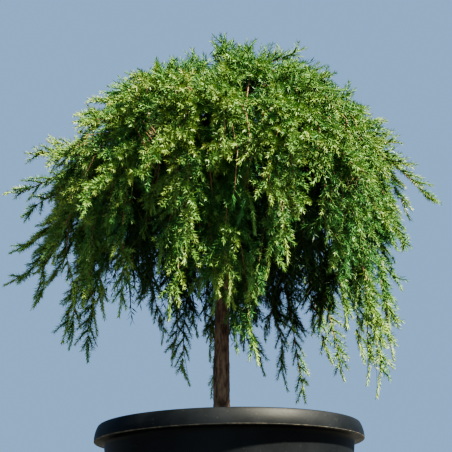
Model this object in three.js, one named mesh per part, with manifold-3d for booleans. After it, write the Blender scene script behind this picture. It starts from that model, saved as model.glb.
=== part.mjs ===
// A weeping, needle-leaved conifer grown as a mop-headed standard in a round nursery pot.
// Millimetres, +Z up. The origin is the middle of the pot's flat underside, and -Y is the front.
import * as THREE from 'three';
import { mergeVertices } from 'three/addons/utils/BufferGeometryUtils.js';
import Module from 'manifold-3d';

const wasm = await Module();
wasm.setup();

const degrees = THREE.MathUtils.degToRad;
const mix = THREE.MathUtils.lerp;

// Clearance between pieces that touch, and the size under which merged corners are one
const seatGap = 0.3;
const weldSize = 1e-4;

// Pot
const potHeight = 225;
const potFootRadius = 108;
const potWallTopRadius = 129.5;
const potWall = 2.6;
const potFloor = 3.2;
const rimLipRadius = 140;
const rimTopRadius = 136.6;
const rimBand = 16;
const rimEdge = 1.3;
const rimThickness = 3.4;
const lipEdge = 1.2;
const footChamfer = 2;
const potFacets = 32;

// Soil, with its clearance to the pot's wall
const soilTop = 200;
const soilGap = 0.6;

// Trunk: a lean to the right from its foot to the middle of the crown, a sway and a root flare
const trunkFootX = -9;
const crownX = 7;
const trunkTipHeight = 592;
const trunkFlareRadius = 14;
const trunkFlareHeight = 34;
const trunkFootRadius = 9.6;
const trunkTipRadius = 4.8;
const trunkSway = 2.2;
const trunkKnots = { low: 0.06, third: 0.36, high: 0.7 };
const trunkCutReach = 2;
const trunkSides = 9;
const trunkSteps = 16;

// Crown: every mass is placed by its direction from this middle point
const crownMiddle = new THREE.Vector3(crownX, 0, 470);
const strandDome = 188;
const coreInner = 126;
const coreOuter = 174;
const coreShare = 0.94;
const coreLumps = 10;
const topCoreRadius = 61;
const topCoreHeight = 148;
const cellClearance = 0.8;

// Boughs end at this distance from the middle, and a stem goes on from there to the hub in the core
const boughReach = 118;
const boughTipShare = 0.62;
const boughSides = 5;
const boughSteps = 4;
const boughElbow = { reach: 0.36, rise: 0.6, lift: 5 };
const boughShoulder = { reach: 0.74, rise: 0.98, lift: 3 };
const stemLength = 26;
const stemSides = 6;
const hubDistance = 138;

// Skirt: how far its shoots reach outwards, where they hang and how low, and how that differs by side
const skirtReach = 186;
const skirtHang = 176;
const innerHang = 128;
const skirtHem = 320;
const hemUneven = 14;
const reachMoreLeft = 16;
const hangMoreRight = 2;
const hemLowerRight = 20;
const crestLevel = 60;
const crestHanging = 8;
const crestPlace = 0.62;
const bellyOut = 16;
const bellyPlace = 0.42;
const dropUneven = 0.08;
const drops = [[0.55, 0.95, 0.2, 0.9], [0.98, 0.3, 0.85, 0.6]];

// Strands, which are long thin shoots, and the sprays of needles on them
const strandRadius = 2.6;
const strandTipRadius = 1.1;
const strandSides = 3;
const strandUneven = 5;
const polarUneven = 0.04;
const lastSpray = 0.97;
const lastButOne = 0.94;
const lastSprayShare = 0.7;
const lastSprayLean = 0.05;
const sprayLength = 80;
const sprayWidth = 32;
const sprayThickness = 1.5;
const sprayDroop = 0.16;
const sprayTries = 4;
const sprayShortest = 0.85;
const sprayRange = 0.3;
const leanUneven = 0.15;
const rollUneven = 0.5;
const faceUneven = degrees(60);

// The outline of a spray from its root round its tip and back, as shares of its length and width
const sprayOutline = [[0, 0], [0.42, -0.5], [0.4, -0.1], [1, 0], [0.6, 0.09], [0.66, 0.44]];

// Edges shorter than this are left out of a fused mass
const smallestDetail = 0.05;

// The three tiers of masses, by their angles from the vertical and what grows in each mass
const skirtTier = {
  name: 'skirt',
  masses: 9,
  firstTurn: 0.5,
  seed: 2440,
  polarFrom: degrees(58),
  polarTo: Math.PI,
  corePolarTo: degrees(118),
  coreRows: 3,
  coreColumns: 3,
  hubPolar: degrees(67),
  boughFoot: 432,
  boughStep: 7,
  boughOrder: 5,
  boughTwist: 0.07,
  stemRadius: 2.8,
  boughRadius: 4.5,
  strandCurve: skirtStrand,
  strands: 4,
  strandSteps: 5,
  fan: 0.8,
  sprays: 6,
  sprayFrom: 0.28,
  spraySize: 1,
  lean: 0.62,
  lift: 0.6,
};
const upperTier = {
  name: 'upper',
  masses: 5,
  firstTurn: 0,
  seed: 8620,
  polarFrom: degrees(26),
  polarTo: skirtTier.polarFrom,
  corePolarTo: skirtTier.polarFrom,
  coreRows: 3,
  coreColumns: 4,
  hubPolar: degrees(39),
  boughFoot: 514,
  boughStep: 7,
  boughOrder: 3,
  boughTwist: 0.1,
  stemRadius: 2.6,
  boughRadius: 4.2,
  strandCurve: domeStrand,
  strands: 5,
  strandSteps: 3,
  fan: 0.84,
  polarTips: [degrees(52), degrees(38), degrees(47), degrees(36), degrees(50)],
  sprays: 4,
  sprayFrom: 0.5,
  spraySize: 0.68,
  lean: 0.7,
  lift: 0.8,
};
const topTier = {
  name: 'top',
  seed: 558,
  azimuth: 0,
  halfWidth: Math.PI,
  polarFrom: 0,
  polarTo: upperTier.polarFrom,
  hubPolar: 0,
  stemRadius: trunkTipRadius,
  strandCurve: domeStrand,
  strands: 5,
  strandSteps: 3,
  fan: 1,
  polarTips: [degrees(17), degrees(9)],
  sprays: 3,
  sprayFrom: 0.62,
  spraySize: 0.66,
  lean: 0.6,
  lift: 0.9,
};

const bark = new THREE.MeshStandardMaterial({ color: 0x6a4a33, roughness: 0.9, metalness: 0 });
const needles = new THREE.MeshStandardMaterial({ color: 0x4f8a2a, roughness: 0.6, metalness: 0 });
const blackPlastic = new THREE.MeshStandardMaterial({ color: 0x16181b, roughness: 0.5, metalness: 0 });
const compost = new THREE.MeshStandardMaterial({ color: 0x2e2119, roughness: 1, metalness: 0 });

// Random numbers that are the same on every run
function seeded(seed) {
  let state = seed >>> 0;
  return function next() {
    state = (state + 0x6d2b79f5) >>> 0;
    let mixed = Math.imul(state ^ (state >>> 15), state | 1);
    mixed ^= mixed + Math.imul(mixed ^ (mixed >>> 7), mixed | 61);
    return ((mixed ^ (mixed >>> 14)) >>> 0) / 4294967296;
  };
}

function spread(random, amount) {
  return (random() * 2 - 1) * amount;
}

// Leaves only the position of a geometry, with its shared corners merged
function welded(geometry) {
  geometry.deleteAttribute('normal');
  geometry.deleteAttribute('uv');
  return mergeVertices(geometry, weldSize);
}

function toSolid(geometry) {
  const merged = welded(geometry);
  const mesh = new wasm.Mesh({
    numProp: 3,
    vertProperties: new Float32Array(merged.attributes.position.array),
    triVerts: new Uint32Array(merged.index.array),
  });
  return new wasm.Manifold(mesh);
}

function toGeometry(solid) {
  const mesh = solid.getMesh();
  const geometry = new THREE.BufferGeometry();
  geometry.setAttribute('position', new THREE.BufferAttribute(mesh.vertProperties, 3));
  geometry.setIndex(new THREE.BufferAttribute(mesh.triVerts, 1));
  return geometry;
}

// A limb: a cylinder whose rings follow a curve and take the radius for their place along it
function limbGeometry(curve, radiusAt, sides, steps) {
  const geometry = welded(new THREE.CylinderGeometry(1, 1, 1, sides, steps));
  const frames = curve.computeFrenetFrames(steps, false);
  const position = geometry.attributes.position;
  for (let i = 0; i < position.count; i += 1) {
    const ring = Math.round((position.getY(i) + 0.5) * steps);
    const radius = radiusAt(ring / steps);
    const point = curve.getPointAt(ring / steps);
    point.addScaledVector(frames.binormals[ring], position.getX(i) * radius);
    point.addScaledVector(frames.normals[ring], position.getZ(i) * radius);
    position.setXYZ(i, point.x, point.y, point.z);
  }
  return geometry;
}

// A point of the crown by its azimuth from +X, its distance from the crown's axis and its height
function crownPoint(azimuth, out, height) {
  return new THREE.Vector3(crownX + out * Math.cos(azimuth), out * Math.sin(azimuth), height);
}

// A point of the crown by its azimuth, its angle from the vertical and its distance from the middle
function domePoint(azimuth, polar, distance) {
  const height = crownMiddle.z + distance * Math.cos(polar);
  return crownPoint(azimuth, distance * Math.sin(polar), height);
}

// A lathe turns about Y, so it is stood up to turn about Z
function turned(profile) {
  const points = profile.map(([radius, height]) => new THREE.Vector2(radius, height));
  const geometry = new THREE.LatheGeometry(points, potFacets);
  geometry.rotateX(Math.PI / 2);
  return welded(geometry);
}

// The pot's section: foot, wall, the folded rim with its sharp lower lip, and the inside back down
function potGeometry() {
  const bandFoot = potHeight - rimBand;
  const innerTop = potWallTopRadius - potWall;
  return turned([
    [0, 0],
    [potFootRadius - footChamfer, 0],
    [potFootRadius, footChamfer],
    [potWallTopRadius, bandFoot - rimThickness],
    [rimLipRadius - lipEdge, bandFoot - lipEdge],
    [rimLipRadius, bandFoot],
    [rimTopRadius + rimEdge, potHeight - 2 * rimEdge],
    [rimTopRadius, potHeight - rimEdge / 2],
    [rimTopRadius - rimEdge, potHeight],
    [rimTopRadius - rimThickness, potHeight],
    [innerTop + rimThickness, potHeight - 2 * rimEdge],
    [innerTop, bandFoot - rimThickness],
    [potFootRadius - potWall, potFloor],
    [0, potFloor],
  ]);
}

// The radius of the pot's inside at a height under its rim
function potInside(height) {
  const share = (height - potFloor) / (potHeight - rimBand - rimThickness - potFloor);
  return mix(potFootRadius, potWallTopRadius, share) - potWall;
}

// The soil fills the pot to just below its rim, clear of the wall and floor
function soilGeometry() {
  const foot = potFloor + seatGap;
  const top = soilTop - seatGap;
  return turned([[0, foot], [potInside(foot) - soilGap, foot], [potInside(top) - soilGap, top], [0, top]]);
}

function trunkCurve() {
  const foot = new THREE.Vector3(trunkFootX, 0, soilTop);
  const tip = new THREE.Vector3(crownX, 0, trunkTipHeight);
  const low = foot.clone().lerp(tip, trunkKnots.low);
  const third = foot.clone().lerp(tip, trunkKnots.third);
  const high = foot.clone().lerp(tip, trunkKnots.high);
  third.x -= trunkSway;
  third.y -= trunkSway;
  high.y += trunkSway;
  return new THREE.CatmullRomCurve3([foot, low, third, high, tip]);
}

function trunkRadius(share) {
  const height = share * (trunkTipHeight - soilTop);
  const flare = Math.max(0, 1 - height / trunkFlareHeight);
  return mix(trunkFootRadius, trunkTipRadius, share) + (trunkFlareRadius - trunkFootRadius) * flare * flare;
}

// The trunk's foot ring is set level, so that its cut lies flat on the soil
function trunkGeometry(extra) {
  const radiusAt = (share) => trunkRadius(share) + extra;
  const geometry = limbGeometry(trunkCurve(), radiusAt, trunkSides, trunkSteps);
  const position = geometry.attributes.position;
  for (let i = 0; i < position.count; i += 1) {
    if (position.getZ(i) < soilTop + trunkCutReach) position.setZ(i, soilTop);
  }
  return geometry;
}

// Where the masses of a tier stand, and where their boughs leave the trunk and end
function tierPlaces(tier) {
  const places = [];
  for (let k = 0; k < tier.masses; k += 1) {
    const azimuth = (2 * Math.PI * (k + tier.firstTurn)) / tier.masses;
    places.push({
      number: k + 1,
      azimuth,
      twist: k % 2 === 0 ? tier.boughTwist : -tier.boughTwist,
      foot: tier.boughFoot + tier.boughStep * ((tier.boughOrder * k) % tier.masses),
      tip: domePoint(azimuth, tier.hubPolar, boughReach),
    });
  }
  return places;
}

// A bough runs from the trunk's axis to the inner edge of its mass
function boughCurve(place) {
  const rise = place.tip.z - place.foot;
  const reach = Math.hypot(place.tip.x - crownX, place.tip.y);
  const axis = trunkCurve().getPointAt((place.foot - soilTop) / (trunkTipHeight - soilTop));
  const bend = (at, turn) => crownPoint(
    place.azimuth + turn,
    reach * at.reach,
    place.foot + rise * at.rise + at.lift,
  );
  const elbow = bend(boughElbow, place.twist);
  const shoulder = bend(boughShoulder, -place.twist);
  return new THREE.CatmullRomCurve3([axis, elbow, shoulder, place.tip]);
}

function boughGeometry(tier, place, trunkRoom) {
  const radiusAt = (share) => tier.boughRadius * mix(1, boughTipShare, share);
  const tube = limbGeometry(boughCurve(place), radiusAt, boughSides, boughSteps);
  return toGeometry(toSolid(tube).subtract(trunkRoom));
}

// A mass keeps to a sector of the crown between two tiers and two azimuths
function holds(mass, point) {
  const local = point.clone().sub(crownMiddle);
  const distance = local.length();
  const polar = Math.acos(local.z / distance);
  if (mass.polarFrom > 0 && distance * (polar - mass.polarFrom) < cellClearance) return false;
  if (distance * (mass.polarTo - polar) < cellClearance) return false;
  if (mass.halfWidth >= Math.PI) return true;
  const flat = Math.hypot(local.x, local.y);
  const turn = Math.atan2(local.y, local.x) - mass.azimuth;
  const offset = Math.abs(Math.atan2(Math.sin(turn), Math.cos(turn)));
  return offset < mass.halfWidth && flat * Math.sin(mass.halfWidth - offset) > cellClearance;
}

function keepsInside(mass, geometry) {
  const position = geometry.attributes.position;
  const point = new THREE.Vector3();
  for (let i = 0; i < position.count; i += 1) {
    if (!holds(mass, point.fromBufferAttribute(position, i))) return false;
  }
  return true;
}

// The azimuths of a mass's strands are fanned out evenly
function strandAzimuth(mass, index) {
  return mass.azimuth + mass.halfWidth * mass.fan * ((2 * index + 1) / mass.strands - 1);
}

// A strand of the dome runs out through the core and on down the slope of the dome
function domeStrand(mass, random, index) {
  const azimuth = strandAzimuth(mass, index);
  const polarTip = mass.polarTips[index % mass.polarTips.length] + spread(random, polarUneven);
  const tipDistance = strandDome - strandUneven + spread(random, strandUneven);
  return new THREE.QuadraticBezierCurve3(
    domePoint(mass.azimuth, mass.hubPolar, hubDistance),
    domePoint(azimuth, (mass.hubPolar + polarTip) / 2, strandDome),
    domePoint(azimuth, polarTip, tipDistance),
  );
}

// A strand of the skirt arches out of the core and hangs: drop 0 ends level, drop 1 ends at the hem
function skirtStrand(mass, random, index) {
  const drop = mass.drops[index] + spread(random, dropUneven);
  const azimuth = strandAzimuth(mass, index);
  const right = Math.cos(azimuth);
  const reach = skirtReach - reachMoreLeft * right;
  const hang = index === mass.innerStrand ? innerHang : skirtHang + hangMoreRight * right;
  const hem = skirtHem - hemLowerRight * right + spread(random, hemUneven);
  const hub = domePoint(mass.azimuth, mass.hubPolar, hubDistance);
  const tipOut = mix(reach, hang, drop * drop);
  const tipHeight = mix(hub.z, hem, drop);
  const crest = hub.z + mix(crestLevel, crestHanging, drop);
  return new THREE.CubicBezierCurve3(
    hub,
    crownPoint(azimuth, mix(coreInner, tipOut, crestPlace), crest),
    crownPoint(azimuth, tipOut + bellyOut * drop, mix(crest, tipHeight, bellyPlace)),
    crownPoint(azimuth, tipOut, tipHeight),
  );
}

// The core of a dense mass is a block of the shell that its sector cuts out of the dome
function coreGeometry(mass, random) {
  if (mass.halfWidth >= Math.PI) {
    const cap = new THREE.IcosahedronGeometry(1, 1);
    cap.scale(topCoreRadius, topCoreRadius, (coreOuter - coreInner) / 2);
    cap.translate(crownX, 0, crownMiddle.z + topCoreHeight);
    return cap;
  }
  const block = welded(new THREE.BoxGeometry(1, 1, 1, mass.coreRows, mass.coreColumns, 1));
  const position = block.attributes.position;
  const polarMiddle = (mass.polarFrom + mass.corePolarTo) / 2;
  const polarWidth = (mass.corePolarTo - mass.polarFrom) * coreShare;
  for (let i = 0; i < position.count; i += 1) {
    const polar = polarMiddle + polarWidth * position.getX(i);
    const azimuth = mass.azimuth + 2 * mass.halfWidth * coreShare * position.getY(i);
    const distance = position.getZ(i) < 0 ? coreInner : coreOuter + spread(random, coreLumps);
    const point = domePoint(azimuth, polar, distance);
    position.setXYZ(i, point.x, point.y, point.z);
  }
  return block;
}

// A direction beside a shoot, turned out of its line and rolled round it
function sideways(tangent, lean, roll) {
  const level = new THREE.Vector3(0, 0, 1).cross(tangent).normalize();
  const upright = new THREE.Vector3().crossVectors(tangent, level);
  const beside = level.multiplyScalar(Math.cos(roll)).addScaledVector(upright, Math.sin(roll));
  return beside.multiplyScalar(Math.sin(lean)).addScaledVector(tangent, Math.cos(lean)).normalize();
}

// A spray is a toothed blade, set along a direction with its width across it, and bent downwards
function sprayGeometry(root, along, across, length, width) {
  const points = sprayOutline.map(([x, y]) => new THREE.Vector2(x * length, y * width));
  const settings = { depth: sprayThickness, bevelEnabled: false };
  const geometry = welded(new THREE.ExtrudeGeometry(new THREE.Shape(points), settings));
  const normal = new THREE.Vector3().crossVectors(along, across);
  const position = geometry.attributes.position;
  for (let i = 0; i < position.count; i += 1) {
    const forward = position.getX(i);
    const point = root.clone().addScaledVector(along, forward);
    point.addScaledVector(across, position.getY(i));
    point.addScaledVector(normal, position.getZ(i) - sprayThickness / 2);
    point.z -= sprayDroop * (forward * forward) / length;
    position.setXYZ(i, point.x, point.y, point.z);
  }
  return geometry;
}

// One spray of a strand, on its left or right and turned outwards, or at its end
function strandSpray(mass, strand, random, index) {
  const last = index === mass.sprays - 1;
  const share = last ? lastSpray : mix(mass.sprayFrom, lastButOne, index / (mass.sprays - 1));
  const lean = last ? lastSprayLean : mass.lean + spread(random, leanUneven);
  const roll = (index % 2 === 0 ? mass.lift : Math.PI - mass.lift) + spread(random, rollUneven);
  const along = sideways(strand.getTangentAt(share), lean, roll);
  const across = sideways(along, Math.PI / 2, spread(random, faceUneven));
  const shorter = (sprayShortest + sprayRange * random()) * (last ? lastSprayShare : 1);
  const length = sprayLength * mass.spraySize * shorter;
  return sprayGeometry(strand.getPointAt(share), along, across, length, sprayWidth * mass.spraySize);
}

// A spray that would leave the room of its mass is drawn again, and left out after a few tries
function strandSprays(mass, strand, random) {
  const sprays = [];
  for (let i = 0; i < mass.sprays; i += 1) {
    for (let attempt = 0; attempt < sprayTries; attempt += 1) {
      const spray = strandSpray(mass, strand, random, i);
      if (keepsInside(mass, spray)) {
        sprays.push(spray);
        break;
      }
    }
  }
  return sprays;
}

// The stem goes on from the end of its bough, or of the trunk, and ends inside the core
function stemGeometry(mass) {
  const foot = mass.limb.getPointAt(1);
  const along = mass.limb.getTangentAt(1);
  const start = foot.clone().addScaledVector(along, seatGap);
  const line = new THREE.LineCurve3(start, foot.addScaledVector(along, stemLength));
  return limbGeometry(line, () => mass.stemRadius, stemSides, 1);
}

// A mass is its stem, core, strands and sprays fused into one solid, with loose scraps dropped
function massGeometry(mass) {
  const random = seeded(mass.seed);
  const pieces = [stemGeometry(mass), coreGeometry(mass, random)];
  const radiusAt = (share) => mix(strandRadius, strandTipRadius, share);
  for (let i = 0; i < mass.strands; i += 1) {
    const strand = mass.strandCurve(mass, random, i);
    const tube = limbGeometry(strand, radiusAt, strandSides, mass.strandSteps);
    if (keepsInside(mass, tube)) pieces.push(tube, ...strandSprays(mass, strand, random));
  }
  const fused = wasm.Manifold.union(pieces.map(toSolid)).simplify(smallestDetail);
  const bodies = fused.decompose().sort((a, b) => b.volume() - a.volume());
  return toGeometry(bodies[0]);
}

function tierMass(tier, place) {
  return {
    ...tier,
    seed: tier.seed + place.number,
    azimuth: place.azimuth,
    halfWidth: Math.PI / tier.masses,
    limb: boughCurve(place),
    innerStrand: 2 - (place.number % 2),
    drops: drops[(place.number + 1) % 2],
  };
}

const plant = new THREE.Group();

function add(name, geometry, material) {
  const mesh = new THREE.Mesh(geometry, material);
  mesh.name = name;
  plant.add(mesh);
}

add('pot', potGeometry(), blackPlastic);
add('soil', soilGeometry(), compost);
add('trunk', trunkGeometry(0), bark);

const trunkRoom = toSolid(trunkGeometry(seatGap));
for (const tier of [skirtTier, upperTier]) {
  for (const place of tierPlaces(tier)) {
    add(`${tier.name}_bough_${place.number}`, boughGeometry(tier, place, trunkRoom), bark);
    add(`${tier.name}_foliage_${place.number}`, massGeometry(tierMass(tier, place)), needles);
  }
}
add('top_foliage', massGeometry({ ...topTier, limb: trunkCurve() }), needles);

export default plant;
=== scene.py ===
"""The looks of a weeping, short-needled conifer standard in a black nursery pot.

Growth is worked out in millimetres by the same rule as the solids, and carried on to finer twigs
and single needles. Every mesh is turned into metres when it is made.
"""
import math

import bpy
import numpy as np
from mathutils import Matrix, Vector, noise


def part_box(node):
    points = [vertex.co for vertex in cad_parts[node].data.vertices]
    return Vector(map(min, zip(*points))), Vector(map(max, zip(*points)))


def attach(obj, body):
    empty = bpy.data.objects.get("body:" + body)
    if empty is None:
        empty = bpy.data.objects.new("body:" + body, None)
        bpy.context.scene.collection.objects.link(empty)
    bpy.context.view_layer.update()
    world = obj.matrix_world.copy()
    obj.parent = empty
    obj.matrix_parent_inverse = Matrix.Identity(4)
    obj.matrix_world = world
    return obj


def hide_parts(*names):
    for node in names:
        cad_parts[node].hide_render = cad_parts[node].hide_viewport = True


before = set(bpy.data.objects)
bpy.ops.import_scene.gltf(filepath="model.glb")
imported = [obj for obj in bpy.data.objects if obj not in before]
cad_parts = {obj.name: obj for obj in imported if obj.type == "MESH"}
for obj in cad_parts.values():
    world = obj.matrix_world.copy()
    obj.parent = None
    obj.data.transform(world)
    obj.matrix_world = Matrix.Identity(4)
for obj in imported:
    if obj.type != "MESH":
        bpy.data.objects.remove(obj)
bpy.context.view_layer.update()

MM = 0.001
BODY = "root"
UP = np.array([0.0, 0.0, 1.0])
GOLDEN_TURN = math.pi * (3 - math.sqrt(5))

# Sizes read from the frame, in millimetres
pot_low, pot_high = (np.array(corner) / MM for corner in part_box("pot"))
soil_low, soil_high = (np.array(corner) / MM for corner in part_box("soil"))
POT_HEIGHT = pot_high[2]
LIP_RADIUS = (pot_high[0] - pot_low[0]) / 2
SOIL_TOP = soil_high[2]
SOIL_RADIUS = (soil_high[0] - soil_low[0]) / 2

# Pot, as in the solids
FOOT_RADIUS = 108.0
WALL_TOP_RADIUS = 129.5
WALL = 2.6
POT_FLOOR = 3.2
RIM_TOP_RADIUS = 136.6
RIM_BAND = 16.0
POT_SIDES = 192
FOOT_ROUND = 3.0
LIP_ROUND = 0.5
RIM_ROUND = 2.6

# Compost: how far its surface lies under its solid's top, its gap to the pot's wall, and the width, height
# and seed of its swells and lumps
COMPOST_SINK = 2.0
COMPOST_GAP = 0.6
COMPOST_RINGS = 46
COMPOST_SIDES = 120
COMPOST_RELIEF = ((21, 2.2, 3), (6, 1.3, 9))
CRUMBS = 2200
CRUMB_SIZES = (0.6, 3.4)

# Trunk and crown, as in the solids
CROWN_X = 7.0
MIDDLE = np.array([CROWN_X, 0.0, 470.0])
TRUNK_FOOT_X = -9.0
TRUNK_TIP = 592.0
TRUNK_SWAY = 2.2
FOOT_THICKNESS = 9.6
TIP_THICKNESS = 4.8
FLARE_RADIUS = 14.0
FLARE_HEIGHT = 34.0
HUB_DISTANCE = 138.0
BOUGH_REACH = 118.0
BOUGH_TIP_SHARE = 0.62

# Where each bough bends: the share of its reach and of its rise, and the lift above that
ELBOW = dict(out=0.36, rise=0.6, lift=5)
SHOULDER = dict(out=0.74, rise=0.98, lift=3)

# The swelling where a bough leaves the trunk, and the share of the bough that it runs along
COLLAR = 2.2
COLLAR_SHARE = 0.16

# Relief of the bark: how often it changes round a limb, and how long its cracks and lumps are
BARK_TURNS = 2.1
CRACK_LENGTH = 11
LUMP_LENGTH = 34
TRUNK_RELIEF = 0.75
BOUGH_RELIEF = 0.35
TRUNK_SIDES = 56
BOUGH_SIDES = 14

# The tiers of masses, as in the solids
SKIRT = dict(name="skirt", masses=9, first=0.5, hub=math.radians(67), foot=432, step=7, order=5,
             twist=0.07, radius=4.5)
UPPER = dict(name="upper", masses=5, first=0.0, hub=math.radians(39), foot=514, step=7, order=3,
             twist=0.1, radius=4.2)


def unit(vectors):
    """Vectors of length one."""
    return vectors / np.maximum(np.linalg.norm(vectors, axis=-1, keepdims=True), 1e-9)


def mix(a, b, share):
    """What lies at a share of the way from a to b."""
    return a + (b - a) * share


def crown_point(azimuth, out, height):
    """Points by their azimuth from +X, distance from the crown's axis and height."""
    azimuth, out, height = np.broadcast_arrays(azimuth, out, height)
    return np.stack([CROWN_X + out * np.cos(azimuth), out * np.sin(azimuth), height], axis=-1)


def dome_point(azimuth, polar, distance):
    """Points by their azimuth, angle from the vertical and distance from the crown's middle."""
    return crown_point(azimuth, distance * np.sin(polar), MIDDLE[2] + distance * np.cos(polar))


def evenly(fine, count):
    """Lines of many points as lines of count points at even shares of their length."""
    run = np.cumsum(np.linalg.norm(np.diff(fine, axis=1), axis=2), axis=1)
    run = np.concatenate([np.zeros((len(fine), 1)), run], axis=1)
    even = np.empty((len(fine), count, 3))
    for i, line in enumerate(fine):
        wanted = np.linspace(0, run[i, -1], count)
        for axis in range(3):
            even[i, :, axis] = np.interp(wanted, run[i], line[:, axis])
    return even


def bezier(controls, count):
    """Evenly spaced points of cubic Bezier curves, from an array of their four controls."""
    t = np.linspace(0, 1, 4 * count)[None, :, None]
    a, b, c, d = (controls[:, k, None] for k in range(4))
    fine = a * (1 - t) ** 3 + 3 * b * t * (1 - t) ** 2 + 3 * c * t ** 2 * (1 - t) + d * t ** 3
    return evenly(fine, count)


def spline(knots, count):
    """Evenly spaced points of a smooth curve through all its knots."""
    knots = np.asarray(knots, float)
    padded = np.vstack([2 * knots[0] - knots[1], knots, 2 * knots[-1] - knots[-2]])
    t = np.linspace(0, 1, 24, endpoint=False)[:, None]
    stretches = []
    for a, b, c, d in zip(padded, padded[1:], padded[2:], padded[3:]):
        curve = 2 * b + (c - a) * t + (2 * a - 5 * b + 4 * c - d) * t ** 2
        stretches.append((curve + (3 * b - a - 3 * c + d) * t ** 3) / 2)
    return evenly(np.vstack(stretches + [knots[-1:]])[None], count)[0]


# The order that turns a triangle over, so that it faces the other way
TURNED_OVER = [0, 2, 1]


def turned(profile, sides):
    """The points of a profile turned round the Z axis. Its two ends, on the axis, come last."""
    radius, height = np.array(profile).T
    turn = np.linspace(0, 2 * math.pi, sides, endpoint=False)
    x = radius[1:-1, None] * np.cos(turn)
    y = radius[1:-1, None] * np.sin(turn)
    z = np.broadcast_to(height[1:-1, None], x.shape)
    points = np.stack([x, y, z], axis=-1).reshape(-1, 3)
    return np.vstack([points, [0, 0, height[0]], [0, 0, height[-1]]])


def wall_faces(rings, sides):
    """The triangles between the rings of a tube, in two halves of its quads."""
    ring, side = np.meshgrid(np.arange(rings - 1), np.arange(sides), indexing="ij")
    a = (ring * sides + side).ravel()
    b = (ring * sides + (side + 1) % sides).ravel()
    return np.vstack([np.column_stack([a, b + sides, b]), np.column_stack([a, a + sides, b + sides])])


def fan_faces(middle, ring):
    """Triangles from a middle point to a closed ring of points."""
    return np.column_stack([np.full(len(ring), middle), ring, np.roll(ring, -1)])


def tube_faces(rings, sides):
    """The faces of a tube with closed ends, whose middles come after the points of the rings."""
    side = np.arange(sides)
    ends = rings * sides
    return np.vstack([wall_faces(rings, sides), fan_faces(ends, side),
                      fan_faces(ends + 1, ends - sides + side)[:, TURNED_OVER]])


def repeated(faces, corners, count):
    """The same faces for each of count pieces, from the number of corners of one."""
    return (np.array(faces)[None] + corners * np.arange(count)[:, None, None]).reshape(-1, 3)


def make_object(name, vertices, faces, materials, smooth):
    """A mesh object from arrays, with its vertices in millimetres."""
    mesh = bpy.data.meshes.new(name)
    mesh.from_pydata((vertices * MM).tolist(), [], faces.tolist(), shade_flat=not smooth)
    for material in materials:
        mesh.materials.append(material)
    piece = bpy.data.objects.new(name, mesh)
    bpy.context.collection.objects.link(piece)
    return piece


def add_piece(name, vertices, faces, materials, slot, smooth=True):
    """A mesh object that is part of the plant or its pot, hung on the root body. Its slot is not used."""
    piece = make_object(name, vertices, faces, materials, smooth)
    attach(piece, BODY)
    return piece


# Materials

def new_material(name, color, roughness, specular=0.5):
    material = bpy.data.materials.new(name)
    material.use_nodes = True
    shader = material.node_tree.nodes["Principled BSDF"]
    shader.inputs["Base Color"].default_value = (*color, 1)
    shader.inputs["Roughness"].default_value = roughness
    shader.inputs["Specular IOR Level"].default_value = specular
    return material, material.node_tree, shader


def add_node(tree, kind, **values):
    """A node with its sockets set by name, where underscores stand for spaces."""
    node = tree.nodes.new(kind)
    for key, value in values.items():
        node.inputs[key.replace("_", " ")].default_value = value
    return node


def object_position(tree, scale=(1, 1, 1)):
    """The place on the object, in metres, stretched by a scale for each axis."""
    place = tree.nodes.new("ShaderNodeTexCoord")
    stretch = add_node(tree, "ShaderNodeMapping", Scale=scale)
    tree.links.new(place.outputs["Object"], stretch.inputs["Vector"])
    return stretch.outputs["Vector"]


def add_noise(tree, place, scale, detail, roughness):
    """A noise texture's number at a place."""
    texture = add_node(tree, "ShaderNodeTexNoise", Scale=scale, Detail=detail, Roughness=roughness)
    tree.links.new(place, texture.inputs["Vector"])
    return texture.outputs["Fac"]


def add_ramp(tree, source, stops):
    """A colour ramp fed by a number, with stops as pairs of a position and a colour."""
    ramp = tree.nodes.new("ShaderNodeValToRGB")
    elements = ramp.color_ramp.elements
    while len(elements) < len(stops):
        elements.new(0.5)
    for element, (position, color) in zip(elements, stops):
        element.position = position
        element.color = (*color, 1)
    tree.links.new(source, ramp.inputs["Fac"])
    return ramp.outputs["Color"]


def add_bump(tree, shader, source, strength, distance):
    bump = add_node(tree, "ShaderNodeBump", Strength=strength, Distance=distance)
    tree.links.new(source, bump.inputs["Height"])
    tree.links.new(bump.outputs["Normal"], shader.inputs["Normal"])


def plastic_material():
    """Black moulded plastic with soft grain, dull patches and fine pale specks of dust."""
    material, tree, shader = new_material("black_plastic", (0.003, 0.0036, 0.0045), 0.5, 0.07)
    place = object_position(tree)
    specks = add_noise(tree, place, 900, 2, 0.6)
    patches = add_noise(tree, place, 22, 5, 0.62)
    grain = add_noise(tree, place, 420, 3, 0.5)
    dust = add_ramp(tree, specks, [(0.7, (0, 0, 0)), (0.76, (1, 1, 1))])
    tone = add_ramp(tree, patches, [(0.35, (0.0016, 0.0021, 0.0028)), (0.7, (0.0042, 0.0052, 0.0066))])
    blend = tree.nodes.new("ShaderNodeMix")
    blend.data_type = "RGBA"
    tree.links.new(dust, blend.inputs["Factor"])
    tree.links.new(tone, blend.inputs["A"])
    blend.inputs["B"].default_value = (0.06, 0.055, 0.047, 1)
    tree.links.new(blend.outputs["Result"], shader.inputs["Base Color"])
    rough = add_ramp(tree, patches, [(0.3, (0.46,) * 3), (0.75, (0.6,) * 3)])
    tree.links.new(rough, shader.inputs["Roughness"])
    add_bump(tree, shader, grain, 0.12, 0.0004)
    return material


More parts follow.
